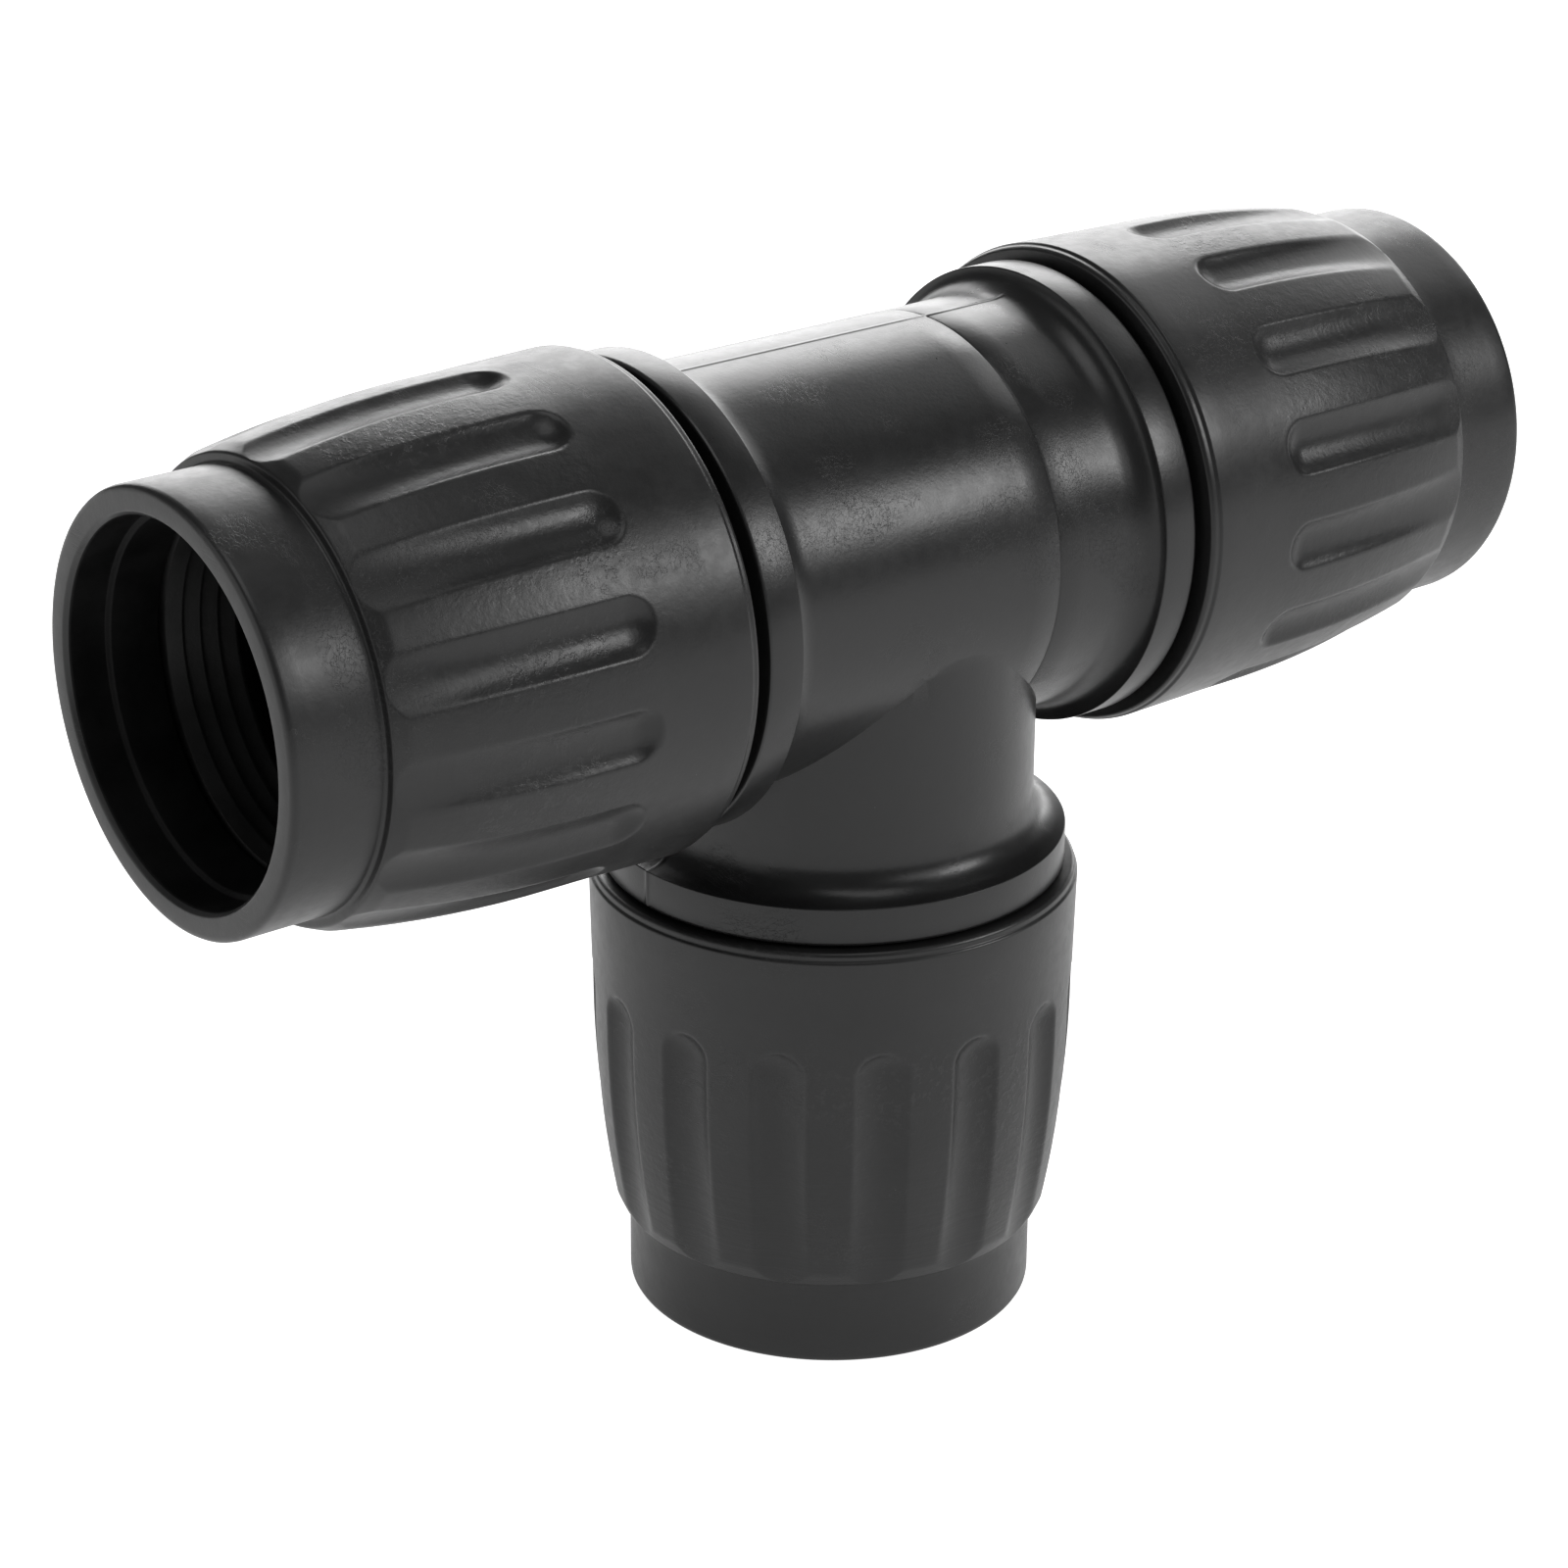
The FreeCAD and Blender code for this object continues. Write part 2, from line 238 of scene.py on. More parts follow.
def nut_outline():
    """Closed half section of the nut, from the rim out along the barrel and back through the bore."""
    rim_bore = MAJOR_R + 0.1
    barrel = [(barrel_radius(z), z, 0.0) for z in np.linspace(STRAIGHT, STEP_START - 0.4, 9)]
    corners = [
        # rim and the inset band around it
        (rim_bore, 0.5, 0.0),
        (rim_bore, 0.0, 0.2),
        (NUT_R - 0.28, 0.0, 0.1),
        (NUT_R - 0.14, 0.16, 0.08),
        (NUT_R - RIM_INSET, RIM_BAND, 0.06),
        (NUT_R, RIM_BAND + 0.12, 0.1),
        # barrel, step and collar
        (STRAIGHT_R + 0.02, FLUTE_TIP - 0.2, 0.0),
        *barrel,
        (barrel_radius(STEP_START), STEP_START, 0.18),
        (STEP_R, STEP_FACE, 0.14),
        (COLLAR_R, STEP_FACE + 0.02, 0.2),
        (COLLAR_R, NUT_LEN, 0.4),
        # mouth, counterbore and lip
        (MOUTH_R + 0.24, NUT_LEN, 0.08),
        (MOUTH_R, NUT_LEN - 0.28, 0.08),
        (MOUTH_R, LIP_END, 0.06),
        (LIP_R, LIP_END - 0.12, 0.08),
        (LIP_R, STEP_FACE, 0.1),
        # cone and threaded bore
        (CONE_R, STEP_FACE - 0.02, 0.1),
        (MINOR_R, CONE_START, 0.2),
        (MINOR_R, THREAD_END + 0.6, 0.0),
        (MINOR_R, 1.8, 0.1),
        (rim_bore, 0.85, 0.1),
    ]
    points = rounded(corners)

    def step(p):
        r, z = p
        if r > NUT_R - 0.5 and FLUTE_TIP - 0.5 < z < STRAIGHT:
            return 0.12
        if r > STEP_R - 0.1 and z > STEP_START - 0.5:
            return 0.11
        if r < MAJOR_R + 0.05 and 0.8 < z < THREAD_END + 0.5:
            return 0.16
        if z < STEP_START:
            return 1.3
        return 1.0

    return densify(points, step)


def flute_angles():
    """Column angles, in degrees, packed closer where a flute's wall is."""
    wall = np.linspace(3.6, 8.1, 10)
    half = np.concatenate([[1.2, 2.4], wall, [9.2, 10.6]])
    one = np.concatenate([-half[::-1], [0.0], half, [12.0]])
    return np.concatenate([one + k * 360 / FLUTES for k in range(FLUTES)])


def thread_profile(z, angle_deg, halves, start, end):
    """Share of a trapezoid thread's height, from 0 to 1, faded out at its start and end.

    The halves are half its width at the full height and at none.
    """
    full, none = halves
    phase = np.mod(z - start - PITCH * angle_deg / 360 + PITCH / 2, PITCH) - PITCH / 2
    ramp = np.clip((none - np.abs(phase)) / (none - full), 0, 1)
    fade = np.clip((z - start) / THREAD_FADE, 0, 1) * np.clip((end - z) / THREAD_FADE, 0, 1)
    return ramp * fade


def fluted(r, z, angle_deg):
    """Barrel radius after the flutes, whose floor follows a flatter arc than the barrel."""
    u = np.mod(angle_deg + 180 / FLUTES, 360 / FLUTES) - 180 / FLUTES
    across = np.radians(u) * r
    from_middle = np.hypot(across, np.minimum(z - FLUTE_TIP - FLUTE_HALF, 0))
    past = np.clip(z - STRAIGHT, 0, STEP_FACE - STRAIGHT)
    depth = FLUTE_DEPTH - past**2 / 2 * (1 / BARREL_R - 1 / FLUTE_FLOOR_R)
    tool_r = (FLUTE_HALF**2 + depth**2) / (2 * depth)
    hollow = np.sqrt(np.maximum(tool_r**2 - from_middle**2, 0)) - (tool_r - depth)
    hollow = smooth_max0(np.where(from_middle < tool_r, hollow, -1.0), FLUTE_EDGE)
    barrel = np.where(past > 0, STRAIGHT_R - BARREL_R + np.sqrt(BARREL_R**2 - past**2), r)
    return np.minimum(r, np.maximum(barrel - hollow, STEP_R - 0.08))


def nut_piece(leg):
    """The fluted nut of a leg, with flutes, step, lipped mouth, cone and internal thread."""
    outline = nut_outline()
    base = flute_angles()
    r = np.repeat(outline[:, :1], len(base), 1)
    z = np.repeat(outline[:, 1:], len(base), 1)
    ang = np.repeat(base[None, :], len(outline), 0)
    outside = (r > COLLAR_R - 0.5) & (z > 1.0)
    bore = (r < MAJOR_R - 0.2) & (z > 1.0) & (z < THREAD_END + 0.7) & ~outside
    r = np.where(outside & (z <= STEP_FACE + 0.01), fluted(r, z, ang), r)
    turned = ang + FLUTE_PHASE
    start = THREAD_START - RIM_GAP
    groove = thread_profile(z - start, turned, GROOVE_HALVES, RUN_OUT, THREAD_END - start)
    r = np.where(bore, r + (MAJOR_R - MINOR_R) * groove, r)
    rim = span("nut_" + leg, leg)[0]
    angle = np.radians(turned + NUT_TURN[leg])
    verts, quads = grid_mesh(leg_points(leg, r, z + rim, angle), True)
    mesh = new_mesh("nut_shell_" + leg, verts, quads.tolist())
    shade_smooth(mesh, 35.0)
    piece = in_scene("nut_shell_" + leg, mesh)
    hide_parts("nut_" + leg)
    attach(piece, "nut_" + leg)
    return piece


# ---------------------------------------------------------------- body

TUBE_R = {"left": RUN_R, "right": RUN_R, "branch": BRANCH_R}
COVE_STEPS = 8
WELD_ROW = 2
COLUMN_DEG = 1.5

# Where the seams run, in degrees, and how far their foot and top reach, in seam widths.
SEAMS = {"left": (90.0, 270.0), "right": (90.0, 270.0), "branch": (0.0, 180.0)}
SEAM_FOOT = 1.15
SEAM_TOP = 0.45
SEAM_CLEAR_DEG = 0.9

# In metres: corners this close are welded, and faces this close to a junction's plane are its cap.
WELD = 2e-6
FLAT = 1e-7


def cove_rows(leg):
    """Radius and distance of the points along a leg's cove, from its tube to its flange."""
    rise = FLANGE_R - FLANGE_EDGE - TUBE_R[leg]
    start = FACE[leg] - FLANGE_T - COVE_LEN
    angles = [math.pi / 2 * k / COVE_STEPS for k in range(COVE_STEPS + 1)]
    return [(TUBE_R[leg] + rise * (1 - math.cos(t)), start + COVE_LEN * math.sin(t)) for t in angles]


# Each run leg is welded on part way up its cove, which the branch tube does not reach.
JUNCTION = {leg: cove_rows(leg)[WELD_ROW][1] for leg in ("left", "right")}
JUNCTION["branch"] = 13.0


def from_seam(leg, angle_deg):
    """Angle from each column to the nearest moulding seam, in degrees."""
    return np.min([np.abs((angle_deg - s + 180) % 360 - 180) for s in SEAMS[leg]], axis=0)


def body_angles(leg):
    """Column angles of a body tube, in degrees, with extra columns across the moulding seams."""
    even = np.arange(0, 360, COLUMN_DEG)
    keep = even[from_seam(leg, even) > SEAM_CLEAR_DEG]
    across = np.array([-SEAM_FOOT, -0.85, -SEAM_TOP, 0.0, SEAM_TOP, 0.85, SEAM_FOOT])
    fine = np.degrees(across * SEAM_WIDTH / TUBE_R[leg])
    extra = [s + f for s in SEAMS[leg] for f in fine]
    return np.sort(np.mod(np.concatenate([keep, extra]), 360))


def seam_height(leg, angle_deg):
    """Height of the moulding seam at each column."""
    widths = np.radians(from_seam(leg, angle_deg)) * TUBE_R[leg] / SEAM_WIDTH
    t = np.clip((SEAM_FOOT - widths) / (SEAM_FOOT - SEAM_TOP), 0, 1)
    return SEAM_HEIGHT * t * t * (3 - 2 * t)


def leg_outline(leg):
    """Open half section of one leg of the body: out over tube, flange and spigot, back down the bore."""
    face = FACE[leg]
    back = face - FLANGE_T
    cove = [(r, z, 0.0) for r, z in cove_rows(leg)]
    if leg == "branch":
        start = [(BRANCH_R, JUNCTION[leg], 0.0)] + cove
    else:
        start = cove[WELD_ROW:]
    end = face + SPIGOT_LEN
    floor = face - SOCKET_DEPTH
    tip = face + STEM_BEYOND
    barbs = []
    for i in range(BARBS):
        high = tip - 0.6 - i * BARB_PITCH
        barbs += [
            (STEM_R, high - 0.2, 0.1),
            (BARB_R, high - 2.45, 0.08),
            (BARB_R, high - 2.75, 0.08),
            (STEM_R, high - BARB_PITCH, 0.08),
        ]
    corners = [
        *start,
        (FLANGE_R, back + 0.02, 0.1),
        (FLANGE_R, face, 0.2),
        (SPIGOT_R, face, 0.35),
        (SPIGOT_R, end - 1.2, 0.1),
        (SPIGOT_R - 0.05, end - 0.3, 0.1),
        (SPIGOT_R - 0.35, end, 0.08),
        (SOCKET_R + 0.4, end, 0.08),
        (SOCKET_R, end - 0.4, 0.08),
        (SOCKET_R, floor, 0.3),
        (STEM_R, floor, 0.3),
    ]
    corners += barbs[::-1]
    corners += [
        (STEM_R, tip - 0.3, 0.08),
        (STEM_R - 0.3, tip, 0.1),
        (BORE_R, tip, 0.2),
        (BORE_R, JUNCTION[leg], 0.0),
    ]
    points = rounded(corners)

    def step(p):
        r, z = p
        if r > SPIGOT_R - 0.1 and face + 0.5 < z < end - 0.9:
            return 0.16
        return 3.0

    return densify(points, step)


def leg_end(leg):
    """Vertices and quads of one leg of the body, open at the junction."""
    outline = leg_outline(leg)
    columns = body_angles(leg)
    r = np.repeat(outline[:, :1], len(columns), 1)
    z = np.repeat(outline[:, 1:], len(columns), 1)
    ang = np.repeat(columns[None, :], len(outline), 0)
    face = FACE[leg]
    outer = (np.arange(len(outline)) < len(outline) // 2)[:, None]
    seam_end = face - 0.05 if leg == "branch" else JUNCTION[leg] + 0.01
    on_skin = outer & (r >= TUBE_R[leg] - 0.01) & (z < seam_end)
    r = r + np.where(on_skin, seam_height(leg, ang), 0.0)
    on_thread = outer & (np.abs(r - SPIGOT_R) < 0.06) & (z > face + 0.5)
    above = z - face - THREAD_START
    ridge = thread_profile(above, ang, RIDGE_HALVES, -0.6, PITCH * THREAD_TURNS + 0.3)
    r = r + np.where(on_thread, (THREAD_R - SPIGOT_R) * ridge, 0.0)
    return grid_mesh(leg_points(leg, r, z, np.radians(ang)), False)


def tube_solid(name, leg, profile, with_seam):
    """Solid turned about a leg's axis from its (radius, distance) profile, capped at both ends."""
    columns = body_angles(leg)
    prof = np.array(profile, float)
    r = np.repeat(prof[:, :1], len(columns), 1)
    z = np.repeat(prof[:, 1:], len(columns), 1)
    ang = np.repeat(columns[None, :], len(prof), 0)
    if with_seam:
        r = r + seam_height(leg, ang)
    verts, quads = grid_mesh(leg_points(leg, r, z, np.radians(ang)), False)
    n = len(columns)
    caps = [list(range(n)), list(range(len(verts) - 1, len(verts) - n - 1, -1))]
    return in_scene(name, new_mesh(name, verts, quads.tolist() + caps))


def boolean(target, tool, operation):
    """Applies an exact boolean of tool on target and removes the tool."""
    mod = target.modifiers.new("join", "BOOLEAN")
    mod.operation = operation
    mod.solver = "EXACT"
    mod.object = tool
    graph = bpy.context.evaluated_depsgraph_get()
    mesh = bpy.data.meshes.new_from_object(target.evaluated_get(graph))
    target.modifiers.clear()
    target.data = mesh
    bpy.data.objects.remove(tool)


def crossing():
    """The middle of the tee: run and branch tubes joined and bored, up to the three junctions."""
    j, jb = JUNCTION["right"], JUNCTION["branch"]
    behind = RUN_R - 0.02
    groove = [(RUN_R, WITNESS_X - 0.16), (RUN_R - WITNESS_DEPTH, WITNESS_X), (behind, WITNESS_X + 0.14)]
    cove = cove_rows("right")[: WELD_ROW + 1]
    rows = [(r, -z) for r, z in cove[::-1]]
    rows += [(RUN_R, z) for z in np.linspace(-9.0, 4.0, 12)]
    rows += groove + [(behind, 7.4), (RUN_R, 9.0)] + cove
    run = tube_solid("run", "right", rows, True)
    branch_rows = [(BRANCH_R, z) for z in np.linspace(2.5, jb, 8)]
    boolean(run, tube_solid("branch", "branch", branch_rows, True), "UNION")
    for leg, start, end in (("right", -j - 1, j + 1), ("branch", 0.0, jb + 1)):
        bore = tube_solid("bore", leg, [(BORE_R, start), (BORE_R, end)], False)
        boolean(run, bore, "DIFFERENCE")
    return run


def body_piece():
    """The moulded tee body: the bored crossing welded to its three legs."""
    middle = crossing()
    bm = bmesh.new()
    bm.from_mesh(middle.data)
    bpy.data.objects.remove(middle)
    centre = Vector(CENTRE * MM)
    for leg in LEGS:
        axis = Vector(AXIS[leg])
        reach = JUNCTION[leg] * MM
        caps = [f for f in bm.faces if all(abs((v.co - centre).dot(axis) - reach) < FLAT for v in f.verts)]
        bmesh.ops.delete(bm, geom=caps, context="FACES_ONLY")
    for leg in LEGS:
        verts, quads = leg_end(leg)
        made = [bm.verts.new(v) for v in (verts * MM).tolist()]
        for q in quads.tolist():
            bm.faces.new([made[i] for i in q])
    bmesh.ops.remove_doubles(bm, verts=bm.verts, dist=WELD)
    bmesh.ops.delete(bm, geom=[e for e in bm.edges if not e.link_faces], context="EDGES")
    bmesh.ops.delete(bm, geom=[v for v in bm.verts if not v.link_faces], context="VERTS")
    mesh = bpy.data.meshes.new("tee_shell")
    bm.to_mesh(mesh)
    open_edges = sum(1 for e in bm.edges if len(e.link_faces) != 2)
    print("tee_shell open edges:", open_edges)
    bm.free()
    face_outwards(mesh)
    shade_smooth(mesh, 28.0)
    piece = in_scene("tee_shell", mesh)
    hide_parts("tee_body")
    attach(piece, "tee")
    return piece


# ---------------------------------------------------------------- materials

BODY_ROUGH = 0.3
NUT_ROUGH = 0.34
TOOL_MARKS = {"left": 0.25, "right": 0.2, "branch": 1.0}


def node(tree, kind, **values):
    """A shader node with its properties and unlinked inputs set by name."""
    made = tree.nodes.new(kind)
    for key, value in values.items():
        if hasattr(made, key):
            setattr(made, key, value)
        else:
            made.inputs[key.replace("_", " ")].default_value = value
    return made


class Surface:
    """One procedural plastic or rubber, built up from named layers on a Principled shader."""

    def __init__(self, name):
        self.material = bpy.data.materials.new(name)
        self.material.use_nodes = True
        self.tree = self.material.node_tree
        self.shader = self.tree.nodes["Principled BSDF"]
        self.place = node(self.tree, "ShaderNodeTexCoord").outputs["Object"]

    def link(self, source, target):
        """Joins one socket to another."""
        self.tree.links.new(source, target)

    def stretched(self, scale, turn=(0.0, 0.0, 0.0)):
        """Object coordinates scaled along each axis after a turn, for streaky patterns."""
        mapping = node(self.tree, "ShaderNodeMapping")
        mapping.inputs["Scale"].default_value = scale
        mapping.inputs["Rotation"].default_value = turn
        self.link(self.place, mapping.inputs["Vector"])
        return mapping.outputs["Vector"]

    def noise(self, scale, detail=3.0, roughness=0.6, coords=None):
        """Smooth random value, about 0.5 on average."""
        texture = node(self.tree, "ShaderNodeTexNoise", Scale=scale, Detail=detail, Roughness=roughness)
        self.link(coords or self.place, texture.inputs["Vector"])
        return texture.outputs["Fac"]

    def dots(self, scale, radius, coords=None):
        """One at the middle of about a fifth of the cells, falling to zero at the radius."""
        cells = node(self.tree, "ShaderNodeTexVoronoi", Scale=scale)
        self.link(coords or self.place, cells.inputs["Vector"])
        split = node(self.tree, "ShaderNodeSeparateColor")
        self.link(cells.outputs["Color"], split.inputs["Color"])
        chosen = self.step(split.outputs["Red"], 0.79, 0.8)
        return self.times(self.step(cells.outputs["Distance"], radius, radius * 0.5), chosen)

    def step(self, value, low, high, to_low=0.0, to_high=1.0):
        """Value carried from low-high to to_low-to_high and held at the ends."""
        ramp = node(self.tree, "ShaderNodeMapRange", interpolation_type="SMOOTHSTEP")
        for name, number in zip(("From Min", "From Max", "To Min", "To Max"), (low, high, to_low, to_high)):
            ramp.inputs[name].default_value = number
        self.link(value, ramp.inputs["Value"])
        return ramp.outputs["Result"]

    def math(self, operation, first, second):
        """Result of one operation on two values, either of which may be a number."""
        made = node(self.tree, "ShaderNodeMath", operation=operation)
        for socket, value in zip(made.inputs, (first, second)):
            if isinstance(value, (int, float)):
                socket.default_value = value
            else:
                self.link(value, socket)
        return made.outputs["Value"]

    def times(self, first, second):
        """Product of two values."""
        return self.math("MULTIPLY", first, second)

    def plus(self, first, second):
        """Sum of two values."""
        return self.math("ADD", first, second)

    def along(self, axis):
        """Object coordinate along X, Y or Z, in millimetres."""
        split = node(self.tree, "ShaderNodeSeparateXYZ")
        self.link(self.place, split.inputs["Vector"])
        return self.times(split.outputs[axis], 1000.0)

    def tint(self, amount, dark, light):
        """Base colour between two greys."""
        ramp = node(self.tree, "ShaderNodeValToRGB")
        ramp.color_ramp.elements[0].color = (dark, dark * 1.01, dark * 1.03, 1)
        ramp.color_ramp.elements[1].color = (light, light, light * 1.01, 1)
        self.link(amount, ramp.inputs["Fac"])
        self.link(ramp.outputs["Color"], self.shader.inputs["Base Color"])

    def gloss(self, value):
        """Roughness of the surface."""
        self.link(value, self.shader.inputs["Roughness"])

    def relief(self, height, depth_mm):
        """Bump from a height between about -1 and 1, at full strength."""
        bump = node(self.tree, "ShaderNodeBump", Strength=1.0, Distance=depth_mm * MM)
        self.link(height, bump.inputs["Height"])
        self.link(bump.outputs["Normal"], self.shader.inputs["Normal"])


def hairlines(surface, turn, fineness):
    """Thin wandering lines in one direction, gathered in patches."""
    streaks = surface.noise(1.0, 2.0, 0.5, surface.stretched((fineness, 90.0, fineness), turn))
    line = surface.step(surface.math("ABSOLUTE", surface.plus(streaks, -0.5), 0.0), 0.012, 0.004)
    patch = surface.step(surface.noise(150.0, 2.0), 0.54, 0.68)
    return surface.times(line, patch)


def reach(surface, leg):
    """Distance from a leg's axis, in millimetres."""
    value = surface.place
    for operation, vector in (("SUBTRACT", CENTRE * MM), ("MULTIPLY", 1.0 - np.abs(AXIS[leg]))):
        made = node(surface.tree, "ShaderNodeVectorMath", operation=operation)
        made.inputs[1].default_value = Vector(vector)
        surface.link(value, made.inputs[0])
        value = made.outputs["Vector"]
    made = node(surface.tree, "ShaderNodeVectorMath", operation="LENGTH")
    surface.link(value, made.inputs[0])
    return surface.times(made.outputs["Value"], 1000.0)


def moulded_plastic(name, grey, rough, grain):
    """Satin black plastic: fine grain, soft gloss changes, hairline scratches and a little dust."""
    surface = Surface(name)
    blotch = surface.noise(170.0, 4.0)
    fine = surface.noise(5200.0, 2.0)
    coarse = surface.noise(1500.0, 3.0)
    scratch = surface.plus(
        hairlines(surface, (0.3, 0.5, 0.9), 2600.0), hairlines(surface, (1.2, -0.4, 0.2), 3300.0)
    )
    dust = surface.plus(surface.dots(300.0, 0.018), surface.dots(640.0, 0.028))
    shade = surface.plus(surface.step(blotch, 0.3, 0.7, 0.0, 0.05), surface.times(scratch, 0.12))
    surface.tint(surface.plus(shade, surface.times(dust, 0.8)), grey, grey * 6)
    gloss = surface.step(blotch, 0.3, 0.7, rough - 0.015, rough + 0.02)
    gloss = surface.plus(gloss, surface.times(dust, 0.2))
    surface.gloss(surface.plus(gloss, surface.step(coarse, 0.35, 0.65, -0.015, 0.015)))
    height = surface.plus(surface.times(fine, grain), surface.times(coarse, grain))
    height = surface.plus(height, surface.times(scratch, -0.3))
    surface.relief(surface.plus(height, surface.times(dust, 0.7)), 0.02)
    return surface.material


def nut_plastic_for(leg):
    """Nut plastic: pebbled between the flutes, smooth at the rim, turned towards the step, with lighter
    crest specks that are partly rubbed wear and partly painted glints.
    """
    surface = Surface("nut_plastic_" + leg)
    axis = int(np.argmax(np.abs(AXIS[leg])))
    rim = span("nut_" + leg, leg)[0] + float(CENTRE @ AXIS[leg])
    distance = surface.plus(surface.times(surface.along("XYZ"[axis]), float(AXIS[leg][axis])), -rim)
    radius = reach(surface, leg)
    crest = surface.times(surface.step(radius, NUT_R - 1.3, NUT_R - 0.5), surface.step(distance, 4.5, 7.5))
    blotch = surface.noise(150.0, 4.0)
    pebble = surface.noise(3400.0, 3.0, 0.65)
    dimple = surface.noise(1300.0, 2.0)
    # Lighter specks on the crests: partly rubbed wear, partly painted glints of light on the pebbled lands.
    rubbed_and_glint = surface.times(surface.step(surface.noise(2400.0, 3.0, 0.7), 0.52, 0.64), crest)
    rubbed_and_glint = surface.times(rubbed_and_glint, surface.step(surface.noise(110.0, 2.0), 0.48, 0.6))
    scale = [70.0, 70.0, 70.0]
    scale[axis] = 3800.0
    marks = surface.noise(1.0, 3.0, 0.6, surface.stretched(scale))
    turned = surface.step(distance, 9.0, 15.0, 0.08, TOOL_MARKS[leg])
    marks = surface.times(marks, surface.times(turned, surface.step(distance, 21.0, 20.0, 0.25, 1.0)))
    scratch = surface.plus(
        hairlines(surface, (0.8, 0.1, 0.5), 2400.0), hairlines(surface, (-0.5, 0.9, 1.4), 3000.0)
    )
    dust = surface.plus(surface.dots(320.0, 0.022), surface.dots(660.0, 0.028))
    shade = surface.plus(surface.step(blotch, 0.3, 0.7, 0.08, 0.14), surface.times(scratch, 0.15))
    shade = surface.plus(shade, surface.times(rubbed_and_glint, 0.12))
    surface.tint(surface.plus(shade, surface.times(dust, 0.7)), 0.006, 0.08)
    gloss = surface.step(blotch, 0.3, 0.7, NUT_ROUGH - 0.02, NUT_ROUGH + 0.03)
    surface.gloss(surface.plus(gloss, surface.step(dimple, 0.35, 0.65, -0.02, 0.02)))
    grain = surface.step(crest, 0.0, 1.0, 0.3, 0.75)
    height = surface.times(surface.plus(pebble, dimple), grain)
    height = surface.plus(height, marks)
    height = surface.plus(height, surface.times(scratch, -0.3))
    height = surface.plus(height, surface.times(dust, 0.7))
    surface.relief(surface.plus(height, surface.times(rubbed_and_glint, 0.5)), 0.02)
    return surface.material


def shaded_bore_plastic():
    """Painted shade inside the nuts: a darker, matt plastic with a low specular level that darkens their
    bores, with moulding haze and dust.
    """
    surface = Surface("shaded_bore_plastic")
    haze = surface.noise(300.0, 4.0)
    dust = surface.plus(surface.dots(300.0, 0.03), surface.dots(700.0, 0.035))
    # Painted shade: a darker base colour and a lower specular level than the outside of the nut.
    surface.tint(surface.plus(surface.step(haze, 0.3, 0.7, 0.0, 0.1), dust), 0.004, 0.06)
    surface.gloss(surface.step(haze, 0.3, 0.7, 0.5, 0.6))
    surface.shader.inputs["Specular IOR Level"].default_value = 0.15
    surface.relief(surface.plus(surface.noise(3000.0, 3.0), dust), 0.012)
    return surface.material


def ring_plastic():
    """Clean black acetal of the grip rings and bushes, with soft blotches and a fine grain."""
    surface = Surface("ring_plastic")
    blotch = surface.noise(400.0, 4.0)
    fine = surface.noise(6000.0, 2.0)
    surface.tint(surface.step(blotch, 0.3, 0.7, 0.0, 0.3), 0.008, 0.02)
    surface.gloss(surface.step(blotch, 0.3, 0.7, 0.36, 0.46))
    surface.relief(surface.plus(fine, surface.times(blotch, 0.5)), 0.008)
    return surface.material


def seal_rubber():
    """Dull black rubber with a powdery bloom."""
    surface = Surface("seal_rubber")
    bloom = surface.noise(700.0, 5.0, 0.7)
    surface.tint(surface.step(bloom, 0.4, 0.7, 0.0, 0.4), 0.006, 0.03)
    surface.gloss(surface.step(bloom, 0.3, 0.7, 0.55, 0.75))
    surface.relief(surface.noise(2500.0, 4.0), 0.02)
    return surface.material


def paint(obj, mat):
    """Puts one material on an object."""
    obj.data.materials.clear()
    obj.data.materials.append(mat)


def paint_bore_shade(nut, leg, mat):
    """Gives the faces inside a nut's mouth the darker material that paints the shade in its bore."""
    nut.data.materials.append(mat)
    axis = Vector(AXIS[leg])
    for face in nut.data.polygons:
        away = face.center - Vector(CENTRE * MM)
        if (away - axis * away.dot(axis)).length < (MOUTH_R + 0.1) * MM:
            face.material_index = 1


paint(body_piece(), moulded_plastic("body_plastic", 0.012, BODY_ROUGH, 0.25))
# The bore material paints shade inside the nuts.
bore_shade_material = shaded_bore_plastic()
inner = {"grip_ring_": ring_plastic(), "seal_ring_": seal_rubber()}
inner["thrust_bush_"] = inner["grip_ring_"]
for leg in LEGS:
    nut = nut_piece(leg)
    paint(nut, nut_plastic_for(leg))
    paint_bore_shade(nut, leg, bore_shade_material)
    for kind, mat in inner.items():
        paint(frame["nodes"][kind + leg], mat)

# ---------------------------------------------------------------- stage

FLOOR_SIZE = 3.0
FLOOR_SHADE = 0.8
FLOOR_GLOW = 0.45
ROOM_GLOW = 0.12


def white_to_camera(tree, strength, glow):
    """Strength that is one where the camera looks straight at it and the glow everywhere else."""
    rays = node(tree, "ShaderNodeLightPath")
    level = node(tree, "ShaderNodeMapRange")
    level.inputs["To Min"].default_value = glow
    tree.links.new(rays.outputs["Is Camera Ray"], level.inputs["Value"])
    tree.links.new(level.outputs["Result"], strength)


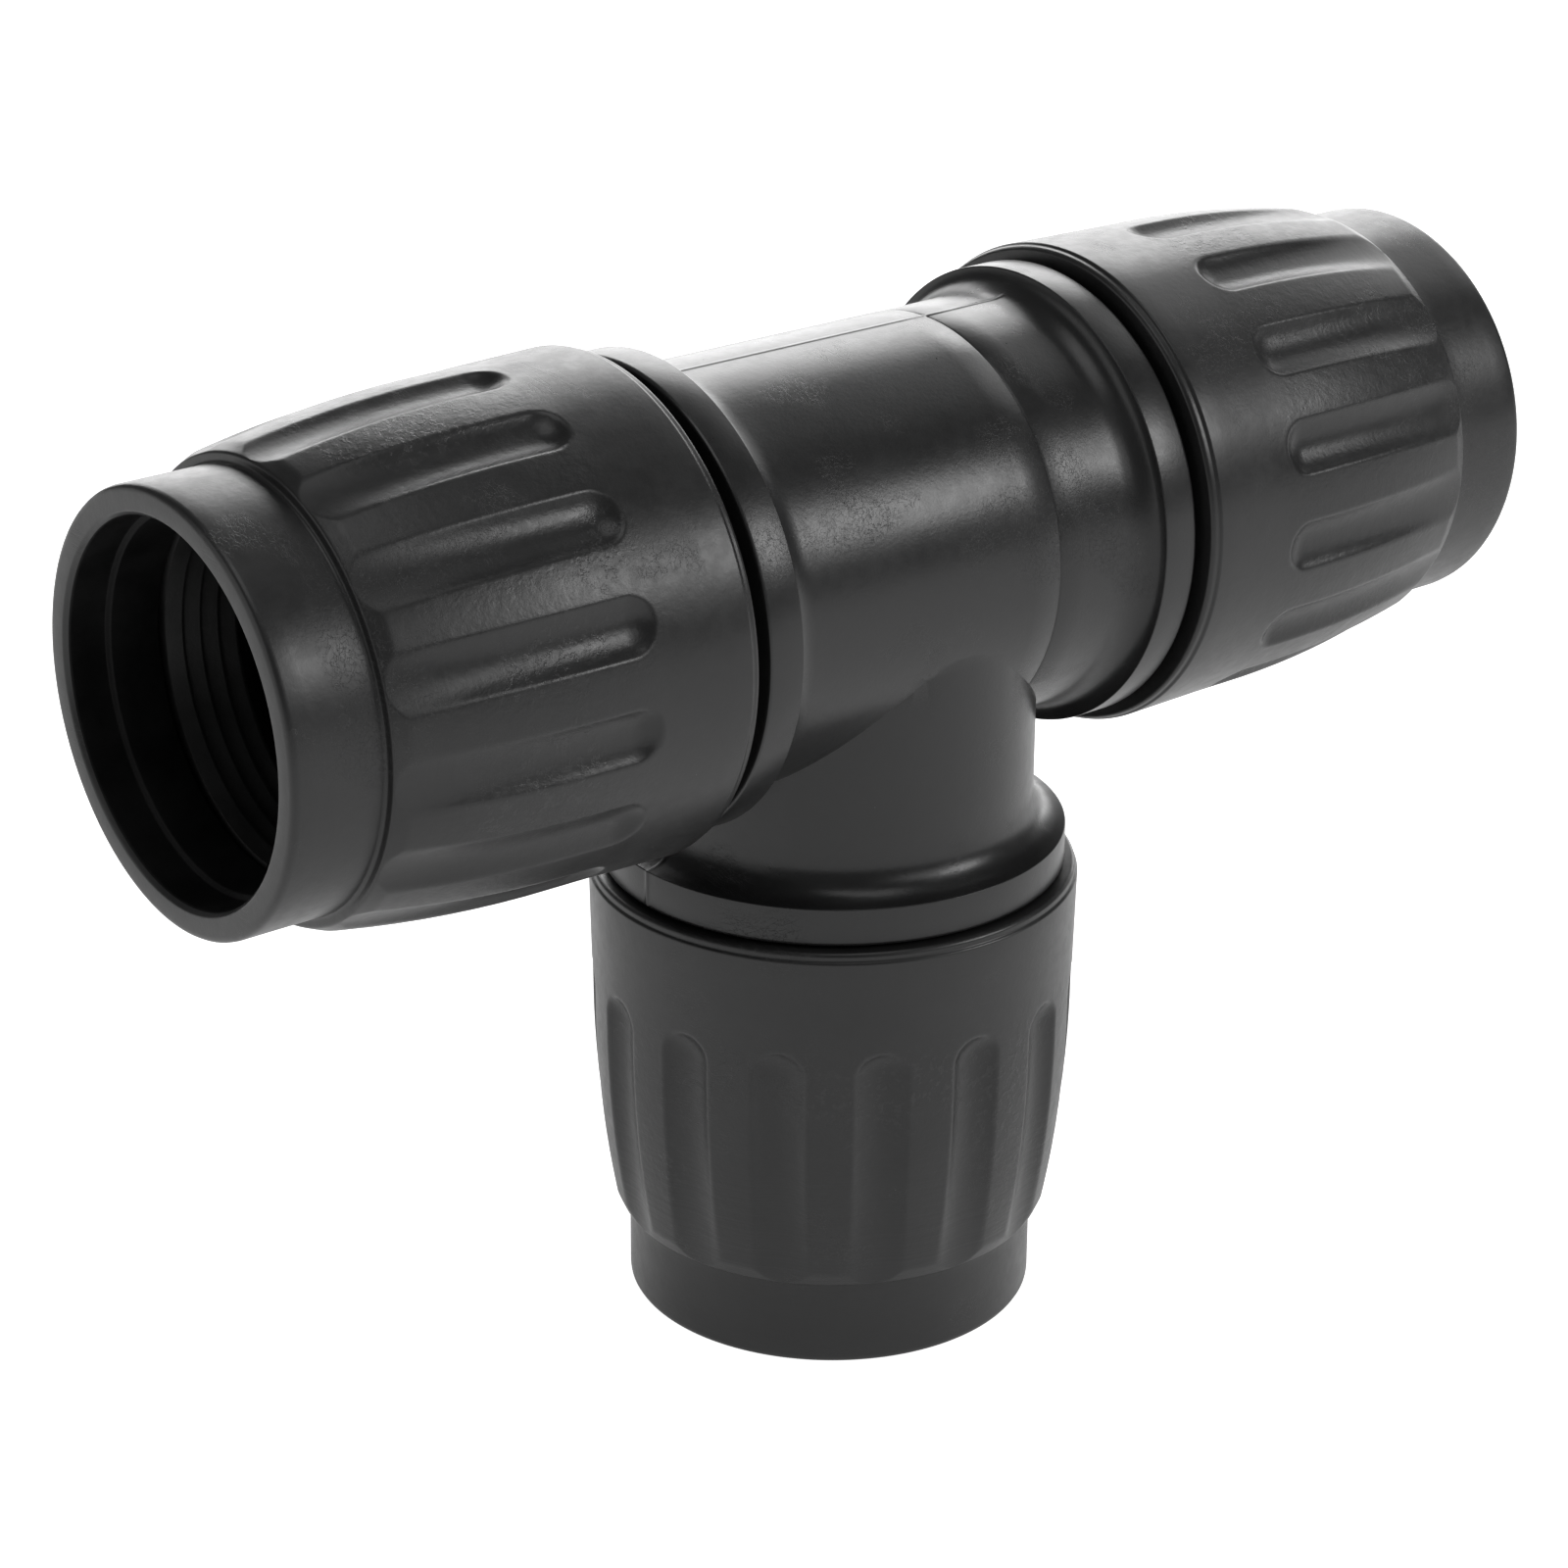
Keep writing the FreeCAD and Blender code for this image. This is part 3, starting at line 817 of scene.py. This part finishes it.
def lay_floor():
    """A plain pale floor."""
    half = FLOOR_SIZE / 2
    corners = [(-half, -half, 0), (half, -half, 0), (half, half, 0), (-half, half, 0)]
    mesh = bpy.data.meshes.new("floor")
    mesh.from_pydata(corners, [], [(0, 1, 2, 3)])
    pale = bpy.data.materials.new("pale_floor")
    pale.use_nodes = True
    shader = pale.node_tree.nodes["Principled BSDF"]
    shader.inputs["Base Color"].default_value = (FLOOR_SHADE, FLOOR_SHADE, FLOOR_SHADE, 1)
    shader.inputs["Roughness"].default_value = 0.9
    shader.inputs["Specular IOR Level"].default_value = 0.0
    shader.inputs["Emission Color"].default_value = (1, 1, 1, 1)
    white_to_camera(pale.node_tree, shader.inputs["Emission Strength"], FLOOR_GLOW)
    mesh.materials.append(pale)
    floor = in_scene("floor", mesh)


def light_room():
    """A plain white room that lights the tee only faintly."""
    world = bpy.data.worlds.new("studio")
    world.use_nodes = True
    background = world.node_tree.nodes["Background"]
    background.inputs["Color"].default_value = (1, 1, 1, 1)
    white_to_camera(world.node_tree, background.inputs["Strength"], ROOM_GLOW)
    bpy.context.scene.world = world


def softbox(name, azimuth, elevation, distance, size, power):
    """A rectangular area light aimed at the tee, azimuth 0 being in front of it on the -Y side."""
    a, e = math.radians(azimuth), math.radians(elevation)
    back = Vector((math.sin(a) * math.cos(e), -math.cos(a) * math.cos(e), math.sin(e)))
    data = bpy.data.lights.new(name, "AREA")
    data.shape = "RECTANGLE"
    data.size, data.size_y = size
    data.energy = power
    lamp = in_scene(name, data)
    lamp.location = Vector(CENTRE * MM) + back * distance
    lamp.rotation_euler = back.to_track_quat("Z", "Y").to_euler()


lay_floor()
light_room()
softbox("key", 38, 26, 0.9, (0.25, 0.25), 2.0)
softbox("front_fill", 12, 28, 0.9, (0.35, 0.3), 0.45)
softbox("right", 98, 38, 0.9, (0.35, 0.4), 0.6)
softbox("back", 140, 12, 0.9, (1.2, 0.55), 6.5)
softbox("back_high", 135, 32, 0.9, (0.4, 0.3), 1.5)
softbox("left", 260, 20, 0.9, (0.8, 0.6), 1.2)
softbox("top", 350, 80, 0.9, (0.5, 0.5), 1.1)

# ---------------------------------------------------------------- camera

# Angles are in degrees about the point where the axes cross. The aim is offset from it in the view.
CAMERA_AZIMUTH = -38.23
CAMERA_ELEVATION = 22.96
CAMERA_ROLL = 0.33
CAMERA_DISTANCE = 222.5
AIM_RIGHT = -2.64
AIM_UP = -12.65
LENS = 98.42


def set_camera():
    """The camera, in front of the tee on its left and a little above it."""
    azimuth = math.radians(CAMERA_AZIMUTH)
    elevation = math.radians(CAMERA_ELEVATION)
    back = Vector((math.sin(azimuth), -math.cos(azimuth), 0)) * math.cos(elevation)
    back.z = math.sin(elevation)
    right = Vector((math.cos(azimuth), math.sin(azimuth), 0))
    up = back.cross(right)
    aim = Vector(CENTRE) + right * AIM_RIGHT + up * AIM_UP
    turn = Matrix((right, up, back)).transposed() @ Matrix.Rotation(math.radians(CAMERA_ROLL), 3, "Z")
    data = bpy.data.cameras.new("camera")
    data.lens = LENS
    data.sensor_width = 36.0
    data.clip_start = 0.01
    camera = in_scene("camera", data)
    camera.matrix_world = Matrix.Translation((aim + back * CAMERA_DISTANCE) * MM) @ turn.to_4x4()
    bpy.context.scene.camera = camera


set_camera()
bpy.context.scene.view_settings.view_transform = "Standard"
